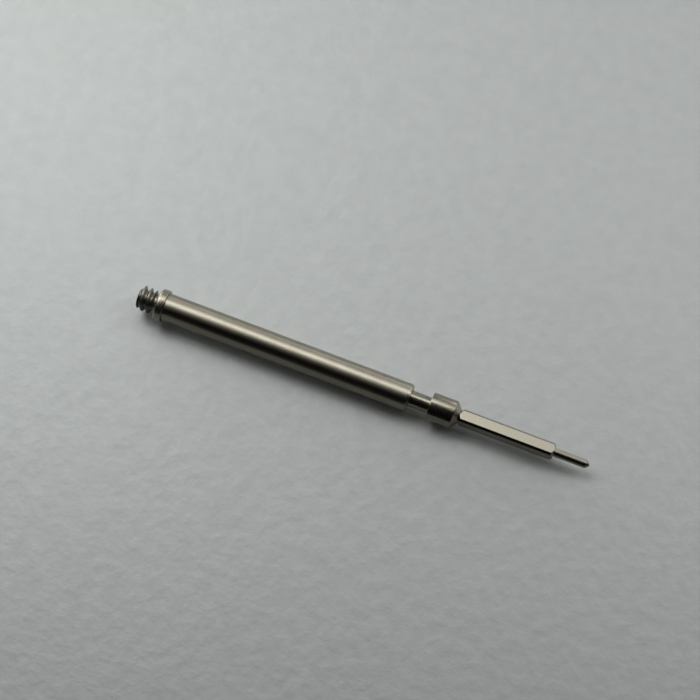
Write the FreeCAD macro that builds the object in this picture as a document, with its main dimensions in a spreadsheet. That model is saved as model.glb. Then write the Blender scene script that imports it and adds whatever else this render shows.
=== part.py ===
# Watch winding stem, built up from four turned steel pieces on one axis.
#
# The stem lies along X. Its outer end, where the crown screws on, points to -X, and its
# pilot points to +X, into the movement. Z is up. The origin is on the axis, halfway along
# the setting-lever groove, because that groove fixes the stem's place in a movement.
#
# From the outer end: the crown stud carries the crown thread, and its thin threaded shank
# passes through the crown seat collar and screws into the bearing sleeve. The winding arbor
# is pressed into the sleeve's other end, up to a step in its bore. Outside the sleeve the
# arbor has the setting-lever groove, the hub for the winding pinion, the square for the
# sliding clutch, and the pilot.
#
# All sizes are in millimetres, and angles in degrees.

import os

import FreeCAD
import Part
import Sketcher

DOC = FreeCAD.newDocument("winding_stem")

# Driving dimensions: name, value and what it is
SIZES = [
    ("sleeve_length", 9.29, "bearing sleeve, end to end"),
    ("sleeve_diameter", 1.00, "bearing sleeve, outside"),
    ("sleeve_bevel_length", 0.09, "bevel at the sleeve's inner end, along the axis"),
    ("sleeve_bevel_depth", 0.04, "the same bevel, in radius"),
    ("sleeve_bore", 0.60, "bore that takes the arbor's core"),
    ("core_clearance", 0.005, "sleeve bore to arbor core, in radius"),
    ("groove_width", 0.755, "setting-lever groove, along the axis"),
    ("hub_diameter", 1.00, "seat of the winding pinion"),
    ("hub_length", 0.885, "cylinder of the hub"),
    ("hub_cone_length", 0.22, "cone from the hub down to the square"),
    ("hub_cone_end", 0.48, "diameter at the cone's small end"),
    ("hub_edge", 0.015, "broken edge of the hub's outer face"),
    ("square_flats", 0.51, "square, across its flats"),
    ("square_circle", 0.62, "square, across its rounded corners"),
    ("square_length", 3.50, "square, with both its bevels"),
    ("square_bevel", 0.075, "bevel at the square's inner end"),
    ("square_roll", -5.8, "turn of the square about the axis"),
    ("pilot_diameter", 0.30, "pilot"),
    ("pilot_length", 1.16, "cylinder of the pilot"),
    ("pilot_tip_length", 0.13, "blunt point of the pilot"),
    ("pilot_tip_diameter", 0.10, "flat at the pilot's point"),
    ("collar_diameter", 1.16, "crown seat collar, outside"),
    ("collar_thickness", 0.31, "crown seat collar, along the axis"),
    ("collar_round", 0.11, "rounding of the collar's outer edge"),
    ("collar_edge", 0.02, "bevel of the collar's inner edge"),
    ("crown_thread_diameter", 0.90, "crown thread, over its crests"),
    ("crown_thread_pitch", 0.225, "crown thread, crest to crest"),
    ("crown_thread_depth", 0.14, "crown thread, crest to root"),
    ("crown_thread_length", 0.60, "crown thread, end face to relief"),
    ("crown_thread_start", 0.045, "first groove above the axis, from the end face"),
    ("crown_thread_bevel", 0.09, "bevel at the outer end face"),
    ("relief_length", 0.11, "relief between the crown thread and the collar"),
    ("relief_depth", 0.005, "relief below the crown thread's root, in radius"),
    ("shank_diameter", 0.52, "stud's shank thread, over its crests"),
    ("shank_pitch", 0.15, "shank thread, crest to crest"),
    ("shank_depth", 0.08, "shank thread, crest to root"),
    ("shank_bevel", 0.10, "bevel at the shank's end, deeper than its thread"),
    ("shank_engagement", 0.90, "shank inside the sleeve"),
    ("shank_clearance", 0.02, "shank to collar and to tapped bore, in radius"),
    ("tap_runout", 0.10, "tapped bore beyond the shank's end"),
    ("root_share", 0.12, "width of a thread's root, as a share of its pitch"),
    ("crest_share", 0.14, "width of a thread's crest, as a share of its pitch"),
]

HALF = "0.5 * Sizes."

# Two coordinates closer than this are one, and a cut that leaves more than this share cut nothing
SAME = 1e-6
UNCUT_SHARE = 0.99


def make_sheet():
    """The driving dimensions, one to a row, each with its alias."""
    sheet = DOC.addObject("Spreadsheet::Sheet", "Sizes")
    for row, (name, value, meaning) in enumerate(SIZES, start=1):
        sheet.set("A%d" % row, name)
        sheet.set("B%d" % row, str(value))
        sheet.set("C%d" % row, meaning)
        sheet.setAlias("B%d" % row, name)
    DOC.recompute()
    return sheet


SHEET = make_sheet()


def sized(*names):
    """An expression that adds up the named sizes."""
    return " + ".join("Sizes." + name for name in names)


def evaluated(expression):
    """The number that an expression gives now."""
    return float(SHEET.evalExpression(expression))


def origin_plane(body, role):
    """One of the body's own origin planes."""
    for feature in body.Origin.OriginFeatures:
        if feature.Role == role:
            return feature
    raise ValueError("no origin plane " + role)


def outline(body, name, points, plane="XZ_Plane"):
    """A closed sketch of straight sides through points, which are pairs of expressions.

    A second coordinate of None lies on the axis.
    """
    sketch = body.newObject("Sketcher::SketchObject", name)
    sketch.AttachmentSupport = [(origin_plane(body, plane), "")]
    sketch.MapMode = "FlatFace"
    corners = []
    for across, up in points:
        height = 0.0 if up is None else evaluated(up)
        corners.append(FreeCAD.Vector(evaluated(across), height, 0))
    count = len(corners)
    for i in range(count):
        sketch.addGeometry(Part.LineSegment(corners[i], corners[(i + 1) % count]), False)
    for i in range(count):
        sketch.addConstraint(Sketcher.Constraint("Coincident", i, 2, (i + 1) % count, 1))
    for i, (across, up) in enumerate(points):
        bind(sketch, "DistanceX", i, across, corners[i].x)
        if up is None:
            sketch.addConstraint(Sketcher.Constraint("PointOnObject", i, 1, -1))
        else:
            bind(sketch, "DistanceY", i, up, corners[i].y)
    return sketch


def bind(sketch, kind, corner, expression, value):
    """Ties one coordinate of a sketch's corner to an expression."""
    index = sketch.addConstraint(Sketcher.Constraint(kind, -1, 1, corner, 1, value))
    sketch.setExpression("Constraints[%d]" % index, expression)


def turned(body, name, points):
    """A turned piece: the outline revolved about X."""
    sketch = outline(body, name + "_outline", points)
    feature = body.newObject("PartDesign::Revolution", name)
    feature.Profile = sketch
    feature.ReferenceAxis = (sketch, ["H_Axis"])
    feature.Angle = 360.0
    DOC.recompute()
    return feature


def thread(body, name, start, end, radius, depth, pitch):
    """A right-hand thread cut into the body, from the station start to the station end.

    The groove's flanks run on past the surface, so that they cut it cleanly.
    """
    past = 0.1
    root = "%s - %s" % (radius, depth)
    outside = "%s + %s * %s" % (radius, past, depth)
    half_root = "0.5 * Sizes.root_share * %s" % pitch
    half_top = "0.5 * (%s * (1 - Sizes.crest_share) - %s * Sizes.root_share) * %s" % (
        1 + past, past, pitch)
    sketch = outline(body, name + "_groove", [
        ("%s - %s" % (start, half_root), root),
        ("%s + %s" % (start, half_root), root),
        ("%s + %s" % (start, half_top), outside),
        ("%s - %s" % (start, half_top), outside),
    ])
    DOC.recompute()
    before = body.Shape.Volume
    cut = body.newObject("PartDesign::SubtractiveHelix", name)
    cut.Profile = sketch
    cut.ReferenceAxis = (sketch, ["H_Axis"])
    cut.Mode = "pitch-height-angle"
    cut.setExpression("Pitch", pitch)
    cut.setExpression("Height", "%s - (%s)" % (end, start))
    cut.Angle = 0.0
    cut.LeftHanded = False
    cut.Reversed = False
    DOC.recompute()
    if cut.Shape.Volume > before * UNCUT_SHARE:
        raise ValueError(name + " cut nothing")
    return cut


def placed(body, *stations):
    """Puts the body's own origin at the sum of the stations along X."""
    body.setExpression("Placement.Base.x", " ".join(stations))


# Stations along X, from the groove's middle
SLEEVE_END = "-0.5 * Sizes.groove_width"
SLEEVE_START = SLEEVE_END + " - Sizes.sleeve_length"
COLLAR_START = SLEEVE_START + " - Sizes.collar_thickness"
STUD_START = COLLAR_START + " - Sizes.crown_thread_length - Sizes.relief_length"

# Depth of the tapped bore, which is also where the arbor's core seats
TAPPED_DEPTH = sized("shank_engagement", "tap_runout")
TAPPED_RADIUS = HALF + "shank_diameter + Sizes.shank_clearance"


def bearing_sleeve():
    """The long tube that turns in the movement and in the case tube."""
    body = DOC.addObject("PartDesign::Body", "bearing_sleeve")
    outside = HALF + "sleeve_diameter"
    bore = HALF + "sleeve_bore"
    turned(body, "sleeve", [
        ("0", TAPPED_RADIUS),
        ("0", outside),
        ("Sizes.sleeve_length - Sizes.sleeve_bevel_length", outside),
        ("Sizes.sleeve_length", outside + " - Sizes.sleeve_bevel_depth"),
        ("Sizes.sleeve_length", bore),
        (TAPPED_DEPTH, bore),
        (TAPPED_DEPTH, TAPPED_RADIUS),
    ])
    placed(body, SLEEVE_START)
    return body


def outer_edge(feature, station, radius):
    """The name of the round edge that a turned feature has at a station and a radius."""
    for number, edge in enumerate(feature.Shape.Edges, start=1):
        box = edge.BoundBox
        at_station = box.XLength < SAME and abs(box.XMin - station) < SAME
        if at_station and abs(box.ZMax - radius) < SAME:
            return "Edge%d" % number
    raise ValueError("no such edge on " + feature.Label)


def seat_collar():
    """The proud ring that the crown stops against."""
    body = DOC.addObject("PartDesign::Body", "crown_seat_collar")
    outside = HALF + "collar_diameter"
    ring = turned(body, "collar", [
        ("0", TAPPED_RADIUS),
        ("0", outside),
        ("Sizes.collar_thickness - Sizes.collar_edge", outside),
        ("Sizes.collar_thickness", outside + " - Sizes.collar_edge"),
        ("Sizes.collar_thickness", TAPPED_RADIUS),
    ])
    rounding = body.newObject("PartDesign::Fillet", "collar_rounding")
    rounding.Base = (ring, [outer_edge(ring, 0, evaluated(outside))])
    rounding.setExpression("Radius", "Sizes.collar_round")
    DOC.recompute()
    placed(body, COLLAR_START)
    return body


def crown_stud():
    """The crown thread, and the threaded shank that holds it in the sleeve."""
    body = DOC.addObject("PartDesign::Body", "crown_stud")
    crest = HALF + "crown_thread_diameter"
    relief = crest + " - Sizes.crown_thread_depth - Sizes.relief_depth"
    shank = HALF + "shank_diameter"
    seat = sized("crown_thread_length", "relief_length")
    shank_end = seat + " + " + sized("collar_thickness", "shank_engagement")
    slope = "Sizes.crown_thread_depth + Sizes.relief_depth"
    turned(body, "stud", [
        ("0", None),
        ("0", crest + " - Sizes.crown_thread_bevel"),
        ("Sizes.crown_thread_bevel", crest),
        ("Sizes.crown_thread_length - 0.5 * (" + slope + ")", crest),
        ("Sizes.crown_thread_length", relief),
        (seat, relief),
        (seat, shank),
        (shank_end + " - Sizes.shank_bevel", shank),
        (shank_end, shank + " - Sizes.shank_bevel"),
        (shank_end, None),
    ])
    thread(body, "crown_thread", "Sizes.crown_thread_start - Sizes.crown_thread_pitch",
           "Sizes.crown_thread_length + 0.5 * Sizes.relief_length",
           crest, "Sizes.crown_thread_depth", "Sizes.crown_thread_pitch")
    thread(body, "shank_thread", seat + " + 0.5 * Sizes.shank_pitch", shank_end,
           shank, "Sizes.shank_depth", "Sizes.shank_pitch")
    placed(body, STUD_START)
    return body


def winding_arbor():
    """The inner half: core, groove, hub, square and pilot, turned in one piece."""
    body = DOC.addObject("PartDesign::Body", "winding_arbor")
    core = HALF + "sleeve_bore - Sizes.core_clearance"
    hub = HALF + "hub_diameter"
    cone_end = HALF + "hub_cone_end"
    circle = HALF + "square_circle"
    pilot = HALF + "pilot_diameter"
    hub_start = "Sizes.sleeve_length - (" + TAPPED_DEPTH + ") + Sizes.groove_width"
    hub_end = hub_start + " + Sizes.hub_length"
    square_start = hub_end + " + Sizes.hub_cone_length"
    square_end = square_start + " + Sizes.square_length"
    pilot_end = square_end + " + Sizes.pilot_length"
    turned(body, "arbor", [
        ("0", None),
        ("0", core),
        (hub_start, core),
        (hub_start, hub + " - Sizes.hub_edge"),
        (hub_start + " + Sizes.hub_edge", hub),
        (hub_end, hub),
        (square_start, cone_end),
        (square_start + " + " + circle + " - " + cone_end, circle),
        (square_end + " - Sizes.square_bevel", circle),
        (square_end, circle + " - Sizes.square_bevel"),
        (square_end, pilot),
        (pilot_end, pilot),
        (pilot_end + " + Sizes.pilot_tip_length", HALF + "pilot_tip_diameter"),
        (pilot_end + " + Sizes.pilot_tip_length", None),
    ])
    mill_square(body, square_start)
    placed(body, SLEEVE_START, "+", TAPPED_DEPTH)
    return body


def mill_square(body, start):
    """Cuts the four flats in one pocket: what lies outside the square goes."""
    sketch = body.newObject("Sketcher::SketchObject", "square_section")
    sketch.AttachmentSupport = [(origin_plane(body, "YZ_Plane"), "")]
    sketch.MapMode = "FlatFace"
    sketch.setExpression("AttachmentOffset.Base.z", start)
    sketch.setExpression("AttachmentOffset.Rotation.Angle", "Sizes.square_roll")
    signs = [(-1, -1), (1, -1), (1, 1), (-1, 1)]
    for half in (HALF + "square_flats", "Sizes.square_circle"):
        first = sketch.GeometryCount
        size = evaluated(half)
        corners = [FreeCAD.Vector(a * size, b * size, 0) for a, b in signs]
        for i in range(4):
            sketch.addGeometry(Part.LineSegment(corners[i], corners[(i + 1) % 4]), False)
        for i in range(4):
            sketch.addConstraint(
                Sketcher.Constraint("Coincident", first + i, 2, first + (i + 1) % 4, 1))
        for i, (a, b) in enumerate(signs):
            sign_a = "" if a > 0 else "-"
            sign_b = "" if b > 0 else "-"
            bind(sketch, "DistanceX", first + i, sign_a + "(" + half + ")", corners[i].x)
            bind(sketch, "DistanceY", first + i, sign_b + "(" + half + ")", corners[i].y)
    DOC.recompute()
    before = body.Shape.Volume
    pocket = body.newObject("PartDesign::Pocket", "square_flats")
    pocket.Profile = sketch
    pocket.Type = "Length"
    pocket.setExpression("Length", "Sizes.square_length")
    pocket.Reversed = True
    DOC.recompute()
    if pocket.Shape.Volume > before * UNCUT_SHARE:
        raise ValueError("the flats cut nothing")
    return pocket


def check_and_write(bodies):
    """Stops on a failed object or a bad shape, then writes one STEP file per piece."""
    DOC.recompute()
    for item in DOC.Objects:
        if "Invalid" in item.State or "Error" in item.State:
            raise ValueError("failed object: " + item.Label + " " + str(item.State))
    for body in bodies:
        shape = body.Shape
        if shape.isNull() or not shape.isValid() or len(shape.Solids) != 1:
            raise ValueError("bad shape: " + body.Label)
    os.makedirs("parts", exist_ok=True)
    for body in bodies:
        body.Shape.exportStep("parts/" + body.Label + ".step")
        box = body.Shape.BoundBox
        print("%-20s volume %.4f  x %.3f to %.3f  z %.3f to %.3f" % (
            body.Label, body.Shape.Volume, box.XMin, box.XMax, box.ZMin, box.ZMax))


check_and_write([bearing_sleeve(), seat_collar(), crown_stud(), winding_arbor()])
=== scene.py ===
"""A watch winding stem on a pale table, close up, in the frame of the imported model.

Four turned pieces stand for the four nodes, each at its node's own size and place. The stem lies
along X, the crown end at -X. Lengths are in metres, so sizes are written as millimetres times MM.
"""

import math

import bpy
from mathutils import Matrix, Vector


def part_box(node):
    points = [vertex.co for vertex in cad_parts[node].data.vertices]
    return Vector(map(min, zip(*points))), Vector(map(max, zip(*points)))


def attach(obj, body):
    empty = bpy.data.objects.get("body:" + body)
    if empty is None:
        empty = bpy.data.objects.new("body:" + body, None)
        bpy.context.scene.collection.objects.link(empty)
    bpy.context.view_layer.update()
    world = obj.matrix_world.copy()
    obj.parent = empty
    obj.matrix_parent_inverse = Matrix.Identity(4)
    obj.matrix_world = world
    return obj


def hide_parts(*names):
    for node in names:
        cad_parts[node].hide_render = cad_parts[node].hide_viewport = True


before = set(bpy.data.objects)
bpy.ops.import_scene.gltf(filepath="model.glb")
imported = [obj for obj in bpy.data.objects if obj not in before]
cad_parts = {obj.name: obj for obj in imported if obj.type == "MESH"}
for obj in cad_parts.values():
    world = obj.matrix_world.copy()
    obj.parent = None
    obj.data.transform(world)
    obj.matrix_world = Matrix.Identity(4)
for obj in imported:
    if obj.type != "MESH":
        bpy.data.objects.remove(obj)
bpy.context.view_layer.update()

MM = 0.001

# Where the pieces begin and end along the axis, and how thick they are, from the frame
SLEEVE_LOW, SLEEVE_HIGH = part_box("bearing_sleeve")
COLLAR_LOW, COLLAR_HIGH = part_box("crown_seat_collar")
STUD_LOW, STUD_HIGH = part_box("crown_stud")
ARBOR_LOW, ARBOR_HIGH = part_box("winding_arbor")

SLEEVE_RADIUS = 0.500 * MM
SLEEVE_BEVEL_LENGTH = 0.09 * MM
SLEEVE_BEVEL_DEPTH = 0.04 * MM
SLEEVE_BORE = 0.300 * MM
TAPPED_BORE = 0.280 * MM
TAPPED_DEPTH = 1.00 * MM

COLLAR_RADIUS = 0.580 * MM
COLLAR_ROUND = 0.11 * MM
COLLAR_EDGE = 0.02 * MM
COLLAR_SEAM = 0.15 * MM

THREAD_RADIUS = 0.450 * MM
THREAD_PITCH = 0.225 * MM
THREAD_DEPTH = 0.140 * MM
THREAD_LENGTH = 0.60 * MM
THREAD_START = 0.045 * MM
THREAD_BEVEL = 0.09 * MM
RELIEF_LENGTH = 0.11 * MM
RELIEF_RADIUS = 0.305 * MM
SHANK_RADIUS = 0.260 * MM
SHANK_PITCH = 0.15 * MM
SHANK_DEPTH = 0.08 * MM
SHANK_BEVEL = 0.10 * MM
CREST_SHARE = 0.14
ROOT_SHARE = 0.12
THREAD_ROUNDING = 0.35

CORE_RADIUS = 0.295 * MM
GROOVE_WIDTH = 0.755 * MM
HUB_RADIUS = 0.500 * MM
HUB_LENGTH = 0.885 * MM
HUB_EDGE = 0.015 * MM
CONE_LENGTH = 0.22 * MM
CONE_END = 0.240 * MM
SQUARE_HALF = 0.255 * MM
SQUARE_CIRCLE = 0.310 * MM
SQUARE_LENGTH = 3.50 * MM
SQUARE_BEVEL = 0.075 * MM
SQUARE_ROLL = math.radians(-5.8)
PILOT_RADIUS = 0.150 * MM
PILOT_LENGTH = 1.16 * MM
PILOT_TIP_RADIUS = 0.050 * MM

# How finely the meshes are cut, and how much their sharp corners are softened
ROUND_STEPS = 192
FLAT_STEPS = 24
EDGE_STEPS = 8
COLLAR_ROUND_STEPS = 8
THREAD_STEP = 0.006 * MM
ARBOR_STEP = 0.012 * MM
LONG_STEP = 0.3 * MM
SLEEVE_SOFTNESS = 0.012 * MM
COLLAR_SOFTNESS = 0.006 * MM
STUD_SOFTNESS = 0.010 * MM
ARBOR_SOFTNESS = 0.008 * MM
CORNER_SHARE = 0.4
HAIR = 0.001 * MM


def softened(points, radius, steps=4):
    """The outline with its corners rounded: each corner becomes an arc of about that radius.

    A corner takes no more than its share of the shorter side beside it.
    """
    out = [points[0]]
    for before, corner, after in zip(points, points[1:], points[2:]):
        b, c, a = Vector(before), Vector(corner), Vector(after)
        cut = min(radius, CORNER_SHARE * (b - c).length, CORNER_SHARE * (a - c).length)
        p = c + (b - c).normalized() * cut
        q = c + (a - c).normalized() * cut
        for i in range(steps + 1):
            t = i / steps
            out.append(tuple(p * (1 - t) ** 2 + c * (2 * t * (1 - t)) + q * t ** 2))
    out.append(points[-1])
    return out


def finely(points, step, long_step=LONG_STEP):
    """The outline with more points: short stretches are cut by the step, long ones by the long step."""
    out = [points[0]]
    for a, b in zip(points, points[1:]):
        length = (Vector(b) - Vector(a)).length
        count = max(1, math.ceil(length / (step if length < long_step else long_step)))
        for i in range(1, count + 1):
            t = i / count
            out.append((a[0] + (b[0] - a[0]) * t, a[1] + (b[1] - a[1]) * t))
    return out


def revolved(name, outline, radius_at=None, steps=ROUND_STEPS, closed=False, angles=None):
    """A mesh round the X axis. The outline is a list of (x, radius).

    radius_at(x, radius, angle) may change the radius from place to place. A closed outline is a
    ring; an open one starts and ends on the axis.
    """
    if angles is None:
        angles = [2 * math.pi * k / steps for k in range(steps)]
    verts, faces, rows = [], [], []
    for x, radius in outline:
        if radius <= 0:
            rows.append([len(verts)])
            verts.append((x, 0.0, 0.0))
            continue
        row = []
        for angle in angles:
            r = radius_at(x, radius, angle) if radius_at else radius
            row.append(len(verts))
            verts.append((x, -r * math.sin(angle), r * math.cos(angle)))
        rows.append(row)
    pairs = list(zip(rows, rows[1:]))
    if closed:
        pairs.append((rows[-1], rows[0]))
    count = len(angles)
    for low, high in pairs:
        for k in range(count):
            n = (k + 1) % count
            if len(low) == 1:
                faces.append((low[0], high[n], high[k]))
            elif len(high) == 1:
                faces.append((low[k], low[n], high[0]))
            else:
                faces.append((low[k], low[n], high[n], high[k]))
    mesh = bpy.data.meshes.new(name)
    mesh.from_pydata(verts, [], faces)
    mesh.validate()
    mesh.update()
    piece = bpy.data.objects.new(name, mesh)
    bpy.context.scene.collection.objects.link(piece)
    for polygon in mesh.polygons:
        polygon.use_smooth = True
    return piece


def bearing_sleeve():
    """The brushed tube: outer wall, bevelled inner end, plain outer end and stepped bore."""
    start, end = SLEEVE_LOW.x, SLEEVE_HIGH.x
    outline = [
        (start + TAPPED_DEPTH, TAPPED_BORE),
        (start, TAPPED_BORE),
        (start, SLEEVE_RADIUS),
        (end - SLEEVE_BEVEL_LENGTH, SLEEVE_RADIUS),
        (end, SLEEVE_RADIUS - SLEEVE_BEVEL_DEPTH),
        (end, SLEEVE_BORE),
        (start + TAPPED_DEPTH, SLEEVE_BORE),
        (start + TAPPED_DEPTH, TAPPED_BORE),
    ]
    outline = softened(outline, SLEEVE_SOFTNESS)
    return revolved("sleeve", finely(outline[:-1], LONG_STEP), closed=True)


def seat_collar():
    """The proud ring, its outer corner well rounded and its inner one just broken."""
    start, end = COLLAR_LOW.x, COLLAR_HIGH.x
    seam = start + COLLAR_SEAM
    outline = [(seam, TAPPED_BORE), (start, TAPPED_BORE)]
    for i in range(COLLAR_ROUND_STEPS + 1):
        turn = 0.5 * math.pi * i / COLLAR_ROUND_STEPS
        outline.append((start + COLLAR_ROUND * (1 - math.cos(turn)),
                        COLLAR_RADIUS - COLLAR_ROUND * (1 - math.sin(turn))))
    outline += [
        (end - COLLAR_EDGE, COLLAR_RADIUS),
        (end, COLLAR_RADIUS - COLLAR_EDGE),
        (end, TAPPED_BORE),
        (seam, TAPPED_BORE),
    ]
    outline = softened(outline, COLLAR_SOFTNESS, steps=2)
    return revolved("collar", outline[:-1], closed=True)


def thread_radius(x, angle, start, pitch, crest, depth):
    """Radius of a right-hand thread at a station and an angle: flat crest and root, straight
    flanks, and corners a little rounded."""
    phase = (x - start) / pitch - angle / (2 * math.pi)
    off = abs((phase + 0.5) % 1.0 - 0.5)
    half_root = 0.5 * ROOT_SHARE
    half_top = 0.5 * (1 - CREST_SHARE)
    rise = (off - half_root) / (half_top - half_root)
    rise = min(1.0, max(0.0, rise))
    rounded = rise * rise * (3 - 2 * rise)
    return crest - depth * (1 - rise + THREAD_ROUNDING * (rise - rounded))


def crown_stud():
    """The crown thread, its relief, and the threaded shank behind it."""
    start = SLEEVE_LOW.x - (COLLAR_HIGH.x - COLLAR_LOW.x) - THREAD_LENGTH - RELIEF_LENGTH
    seat = start + THREAD_LENGTH + RELIEF_LENGTH
    end = STUD_HIGH.x
    drop = THREAD_RADIUS - RELIEF_RADIUS
    outline = [
        (start, 0.0),
        (start, THREAD_RADIUS - THREAD_BEVEL),
        (start + THREAD_BEVEL, THREAD_RADIUS),
        (start + THREAD_LENGTH - 0.5 * drop, THREAD_RADIUS),
        (start + THREAD_LENGTH, RELIEF_RADIUS),
        (seat, RELIEF_RADIUS),
        (seat, SHANK_RADIUS),
        (end - SHANK_BEVEL, SHANK_RADIUS),
        (end, SHANK_RADIUS - SHANK_BEVEL),
        (end, 0.0),
    ]
    outline = finely(softened(outline, STUD_SOFTNESS, steps=3), THREAD_STEP, THREAD_STEP)

    def cut(x, radius, angle):
        if x < seat:
            thread = thread_radius(x, angle, start + THREAD_START, THREAD_PITCH,
                                   THREAD_RADIUS, THREAD_DEPTH)
        else:
            thread = thread_radius(x, angle, seat + 0.5 * SHANK_PITCH, SHANK_PITCH,
                                   SHANK_RADIUS, SHANK_DEPTH)
        return min(radius, thread)

    return revolved("stud", outline, cut)


def winding_arbor():
    """Core, groove, hub with its cone, milled square and pilot."""
    start, end = ARBOR_LOW.x, ARBOR_HIGH.x
    hub = SLEEVE_HIGH.x + GROOVE_WIDTH
    cone = hub + HUB_LENGTH
    square = cone + CONE_LENGTH
    square_end = square + SQUARE_LENGTH
    tip = square_end + PILOT_LENGTH
    lead = SQUARE_CIRCLE - CONE_END
    quarter_turn = 0.5 * math.pi
    outline = [
        (start, 0.0),
        (start, CORE_RADIUS),
        (hub, CORE_RADIUS),
        (hub, HUB_RADIUS - HUB_EDGE),
        (hub + HUB_EDGE, HUB_RADIUS),
        (cone, HUB_RADIUS),
        (square, CONE_END),
        (square + lead, SQUARE_CIRCLE),
        (square_end - SQUARE_BEVEL, SQUARE_CIRCLE),
        (square_end, SQUARE_CIRCLE - SQUARE_BEVEL),
        (square_end, PILOT_RADIUS),
        (tip, PILOT_RADIUS),
        (end, PILOT_TIP_RADIUS),
        (end, 0.0),
    ]
    outline = finely(softened(outline, ARBOR_SOFTNESS, steps=3), ARBOR_STEP)

    def milled(x, radius, angle):
        if not square - HAIR < x < square_end + HAIR:
            return radius
        off = (angle - SQUARE_ROLL + 0.5 * quarter_turn) % quarter_turn - 0.5 * quarter_turn
        return min(radius, SQUARE_HALF / math.cos(off))

    flat = 2 * math.acos(SQUARE_HALF / SQUARE_CIRCLE)
    edge = quarter_turn - flat
    angles = []
    for quarter in range(4):
        begin = SQUARE_ROLL + quarter * quarter_turn - 0.5 * flat
        for i in range(FLAT_STEPS + 1):
            angles.append(begin + flat * i / FLAT_STEPS)
        for i in range(1, EDGE_STEPS):
            angles.append(begin + flat + edge * i / EDGE_STEPS)
    return revolved("arbor", outline, milled, angles=angles)


def shader(name):
    """A new material, its node tree and its Principled shader."""
    material = bpy.data.materials.new(name)
    material.use_nodes = True
    nodes = material.node_tree.nodes
    return material, material.node_tree, nodes["Principled BSDF"]


# The colours of the steels, and how their turning marks and stains vary
COLOUR = (0.45, 0.42, 0.34)
DARK_COLOUR = (0.36, 0.335, 0.265)
# The arbor's colour is the sleeve's steel made darker. The darkening is painted shade: it stands in for
# the light that the smooth arbor gathers less of than the brushed sleeve.
ARBOR_SHADED_COLOUR = (0.38, 0.355, 0.29)
THREAD_COLOUR = (0.31, 0.295, 0.25)
OILY_COLOUR = (0.13, 0.12, 0.10)
WAVES_ALONG_MARK = 0.12
MARK_RANGE = (0.3, 0.7)
STAIN_WAVES = 1.6 / MM
STAIN_RANGE = (0.35, 0.75)
STAIN_STRENGTH = 0.6
SMOOTHER = 0.8
ROUGHER = 1.25


def scaled_noise(tree, scale, detail, rough=0.5):
    """Noise in the object's own space, with a scale for each axis, in waves per metre."""
    place = tree.nodes.new("ShaderNodeTexCoord")
    mapping = tree.nodes.new("ShaderNodeMapping")
    mapping.inputs["Scale"].default_value = scale
    tree.links.new(place.outputs["Object"], mapping.inputs["Vector"])
    texture = tree.nodes.new("ShaderNodeTexNoise")
    texture.inputs["Scale"].default_value = 1.0
    texture.inputs["Detail"].default_value = detail
    texture.inputs["Roughness"].default_value = rough
    tree.links.new(mapping.outputs["Vector"], texture.inputs["Vector"])
    return texture.outputs["Fac"]


def ranged(tree, value, span, to_low, to_high):
    """The value, stretched from one range to another."""
    node = tree.nodes.new("ShaderNodeMapRange")
    node.inputs["From Min"].default_value = span[0]
    node.inputs["From Max"].default_value = span[1]
    node.inputs["To Min"].default_value = to_low
    node.inputs["To Max"].default_value = to_high
    tree.links.new(value, node.inputs["Value"])
    return node.outputs["Result"]


def mixed(tree, factor, first, second):
    """A colour between two others."""
    mix = tree.nodes.new("ShaderNodeMix")
    mix.data_type = "RGBA"
    mix.inputs["A"].default_value = (*first, 1.0)
    mix.inputs["B"].default_value = (*second, 1.0)
    tree.links.new(factor, mix.inputs["Factor"])
    return mix.outputs["Result"]


def bumped(tree, principled, height, depth):
    """Gives the surface the relief of a height, so deep."""
    bump = tree.nodes.new("ShaderNodeBump")
    bump.inputs["Distance"].default_value = depth
    tree.links.new(height, bump.inputs["Height"])
    tree.links.new(bump.outputs["Normal"], principled.inputs["Normal"])


def steel(name, colour, dark_colour, roughness, marks, depth, spread):
    """Turned steel. Its marks run round the axis: marks is their spacing, depth their height.

    Roughness wavers with the marks, and faint handling stains lie over the colour.
    """
    material, tree, principled = shader(name)
    principled.inputs["Metallic"].default_value = 1.0
    principled.inputs["Anisotropic"].default_value = spread
    principled.inputs["Anisotropic Rotation"].default_value = 0.25
    tangent = tree.nodes.new("ShaderNodeTangent")
    tangent.direction_type = "RADIAL"
    tangent.axis = "X"
    tree.links.new(tangent.outputs["Tangent"], principled.inputs["Tangent"])

    along_mark = WAVES_ALONG_MARK / marks
    rings = scaled_noise(tree, (1.0 / marks, along_mark, along_mark), detail=3.0, rough=0.6)
    wavering = ranged(tree, rings, MARK_RANGE, SMOOTHER * roughness, ROUGHER * roughness)
    tree.links.new(wavering, principled.inputs["Roughness"])
    bumped(tree, principled, rings, depth)

    stains = scaled_noise(tree, (STAIN_WAVES,) * 3, detail=4.0)
    stained = ranged(tree, stains, STAIN_RANGE, 0.0, STAIN_STRENGTH)
    tree.links.new(mixed(tree, stained, colour, dark_colour), principled.inputs["Base Color"])
    return material


def brushed_steel():
    """The sleeve: coarse turning marks, so its highlight gathers light from far along the stem."""
    return steel("turned_sleeve", COLOUR, DARK_COLOUR, roughness=0.37,
                 marks=0.03 * MM, depth=0.0010 * MM, spread=0.89)


def turned_steel():
    """The collar: finer marks."""
    return steel("turned_collar", COLOUR, DARK_COLOUR, roughness=0.28,
                 marks=0.03 * MM, depth=0.0008 * MM, spread=0.4)


def thread_steel():
    """The cut threads: darker, with oily stains lying at random."""
    return steel("cut_thread", THREAD_COLOUR, OILY_COLOUR, roughness=0.32,
                 marks=0.02 * MM, depth=0.0008 * MM, spread=0.2)


def polished_steel():
    """The arbor: smooth, with the faintest marks."""
    # Its colour is the steel darkened with painted shade.
    return steel("polished_arbor", ARBOR_SHADED_COLOUR, DARK_COLOUR, roughness=0.22,
                 marks=0.02 * MM, depth=0.0005 * MM, spread=0.4)


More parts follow.
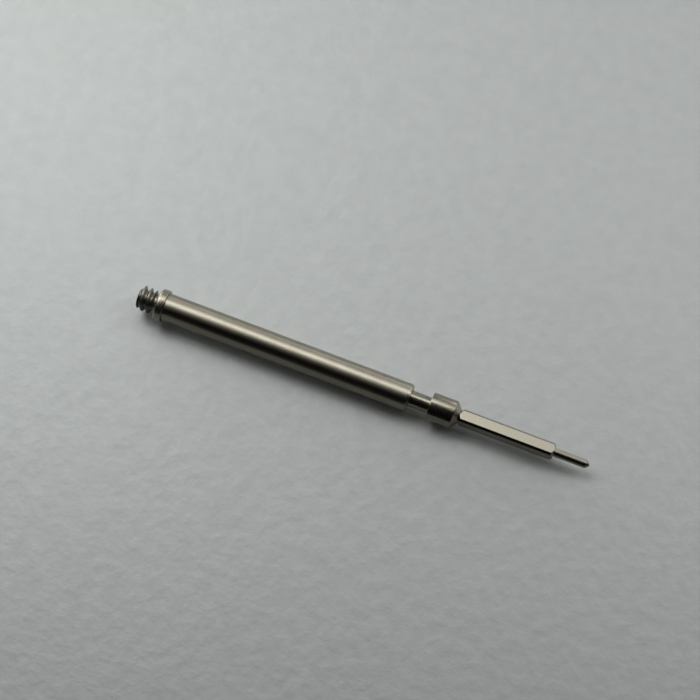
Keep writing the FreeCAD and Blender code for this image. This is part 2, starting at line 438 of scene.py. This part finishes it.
def dress(piece, material, node, body):
    """Gives a piece its material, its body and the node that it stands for."""
    piece.data.materials.append(material)
    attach(piece, body)
    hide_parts(node)


# The pale sheet under the stem
SHEET_REACH = 60 * MM
NAP = 0.10 * MM
GRAIN_WAVES = 2.2 / MM
GRAIN_HEIGHT = 0.02 * MM
SHEET_COLOUR = (0.485, 0.506, 0.495)
PALE_SHEET_COLOUR = (0.565, 0.587, 0.574)
SHEET_METALLIC = 0.8
SHEET_ROUGHNESS = 0.6


def satin_sheet():
    """A pale sheet with a satin face: it mostly throws light on, and scatters a little of it."""
    material, tree, principled = shader("table_paint")
    principled.inputs["Metallic"].default_value = SHEET_METALLIC
    principled.inputs["Roughness"].default_value = SHEET_ROUGHNESS
    grain = scaled_noise(tree, (GRAIN_WAVES,) * 3, detail=3.0)
    colour = mixed(tree, grain, SHEET_COLOUR, PALE_SHEET_COLOUR)
    tree.links.new(colour, principled.inputs["Base Color"])
    bumped(tree, principled, grain, GRAIN_HEIGHT)
    return material


def table():
    """The pale sheet under the stem.

    It follows the collar's rim and the hub, so it slopes very slightly. It is lower than they are
    by the nap, which isn't modelled, so the stem doesn't touch it.
    """
    collar_x = COLLAR_HIGH.x - COLLAR_EDGE
    hub_x = SLEEVE_HIGH.x + GROOVE_WIDTH + HUB_LENGTH
    slope = (COLLAR_RADIUS - HUB_RADIUS) / (hub_x - collar_x)
    far = SHEET_REACH
    corners = []
    for x, y in ((-far, -far), (far, -far), (far, far), (-far, far)):
        corners.append((x, y, -COLLAR_RADIUS - NAP + slope * (x - collar_x)))
    mesh = bpy.data.meshes.new("table")
    mesh.from_pydata(corners, [], [(0, 1, 2, 3)])
    floor = bpy.data.objects.new("table", mesh)
    bpy.context.scene.collection.objects.link(floor)
    mesh.materials.append(satin_sheet())


# The point that the lamps face, and how near to the axis one has to be to lie across it
AIM = Vector((-2.2 * MM, 0, 0))
NEAR_AXIS = 0.7


def soft_lamp(behind, left, distance, along, across, radiance):
    """A rectangular lamp that faces the stem, placed by how it looks from there.

    It stands so many degrees behind the vertical and so many towards the crown end. Along and
    across are the degrees it spans along the stem and over it.
    """
    length = 2 * distance * math.tan(math.radians(0.5 * along))
    width = 2 * distance * math.tan(math.radians(0.5 * across))
    data = bpy.data.lights.new("panel", "AREA")
    data.shape = "RECTANGLE"
    data.size = length
    data.size_y = width
    data.energy = radiance * math.pi * length * width
    lamp = bpy.data.objects.new("panel", data)
    bpy.context.scene.collection.objects.link(lamp)
    lean = math.radians(behind)
    aside = math.radians(left)
    level = math.cos(aside)
    back = Vector((-math.sin(aside), math.sin(lean) * level, math.cos(lean) * level))
    long_side = Vector((1, 0, 0)) if abs(back.x) < NEAR_AXIS else Vector((0, 1, 0))
    up = back.cross(long_side).normalized()
    right = up.cross(back)
    turn = Matrix((right, up, back)).transposed().to_4x4()
    lamp.matrix_world = Matrix.Translation(AIM + back * distance) @ turn
    return lamp


# The soft light is a wall of panels round the stem, as a large window and a pale ceiling give it.
# Columns: degrees towards the crown end, and the degrees that the column spans
LAMP_COLUMNS = ((-42, 40), (-11, 22), (12, 24), (35, 22), (59, 26), (80, 16))
# Rows: degrees behind the vertical, degrees spanned, and each column's brightness
LAMP_ROWS = (
    (-19, 22, (0, 0, 0, 0.27, 0, 0)),
    (-1, 14, (0, 0, 0, 1.77, 0, 0)),
    (10, 8, (0, 0.74, 0.14, 3.55, 0, 0)),
    (17.5, 7, (0.90, 0.27, 0.79, 4.25, 0, 0)),
    (24.5, 7, (1.60, 0.76, 2.49, 3.66, 0, 0)),
    (31.5, 7, (2.10, 1.20, 1.36, 1.83, 0, 0)),
    (39, 8, (1.90, 0.68, 1.12, 1.46, 0, 0)),
    (48.5, 11, (0.91, 0.39, 0.77, 0.78, 0.36, 0)),
    (61, 14, (0.65, 0.58, 0.18, 0.26, 1.25, 1.58)),
    (78, 20, (0.72, 1.49, 0.29, 1.22, 2.31, 0)),
)
LAMP_DISTANCE = 66 * MM
ROOM_COLOUR = (0.004, 0.004, 0.0035)
BACKDROP_COLOUR = (0.42, 0.44, 0.43)


def lighting():
    """A bright window behind and to the left, and a paler wall low behind."""
    for behind, across, row in LAMP_ROWS:
        for (left, along), radiance in zip(LAMP_COLUMNS, row):
            if radiance:
                soft_lamp(behind, left, LAMP_DISTANCE, along, across, radiance)


def room():
    """A dark room in front of the stem. Where the sheet ends, the camera sees a pale backdrop."""
    world = bpy.data.worlds.new("room")
    bpy.context.scene.world = world
    world.use_nodes = True
    tree = world.node_tree
    path = tree.nodes.new("ShaderNodeLightPath")
    colour = mixed(tree, path.outputs["Is Camera Ray"], ROOM_COLOUR, BACKDROP_COLOUR)
    tree.links.new(colour, tree.nodes["Background"].inputs["Color"])


# The photograph's camera: a long lens close by, looking down and a little from the left
IMAGE_WIDTH = 700
FOCAL_PIXELS = 2342.0
CAMERA_DISTANCE = 82.3 * MM
CAMERA_ELEVATION = math.radians(70.0)
AXIS_TILT_IN_IMAGE = math.radians(20.5)
PINNED_STATION = -2.9575 * MM
PINNED_PIXEL = (341.65, 372.5)
SENSOR_WIDTH = 36.0
NEAREST = 5 * MM
FARTHEST = 2000 * MM


def camera():
    """Places the camera so that the pinned station of the axis falls on its pixel."""
    elevation = CAMERA_ELEVATION
    azimuth = math.atan(math.tan(AXIS_TILT_IN_IMAGE) / math.sin(elevation))
    back = Vector((math.sin(azimuth) * math.cos(elevation),
                   -math.cos(azimuth) * math.cos(elevation), math.sin(elevation)))
    right = Vector((math.cos(azimuth), math.sin(azimuth), 0))
    up = back.cross(right)
    middle = 0.5 * IMAGE_WIDTH
    scale = CAMERA_DISTANCE / FOCAL_PIXELS
    across = (PINNED_PIXEL[0] - middle) * scale
    above = (middle - PINNED_PIXEL[1]) * scale
    eye = Vector((PINNED_STATION, 0, 0)) - right * across - up * above + back * CAMERA_DISTANCE
    data = bpy.data.cameras.new("camera")
    data.sensor_width = SENSOR_WIDTH
    data.lens = FOCAL_PIXELS / IMAGE_WIDTH * data.sensor_width
    data.clip_start = NEAREST
    data.clip_end = FARTHEST
    item = bpy.data.objects.new("camera", data)
    bpy.context.scene.collection.objects.link(item)
    turn = Matrix((right, up, back)).transposed().to_4x4()
    item.matrix_world = Matrix.Translation(eye) @ turn
    bpy.context.scene.camera = item


dress(bearing_sleeve(), brushed_steel(), "bearing_sleeve", "stem")
dress(seat_collar(), turned_steel(), "crown_seat_collar", "collar")
dress(crown_stud(), thread_steel(), "crown_stud", "stud")
dress(winding_arbor(), polished_steel(), "winding_arbor", "stem")
table()
lighting()
room()
camera()
bpy.context.scene.view_settings.view_transform = "Standard"
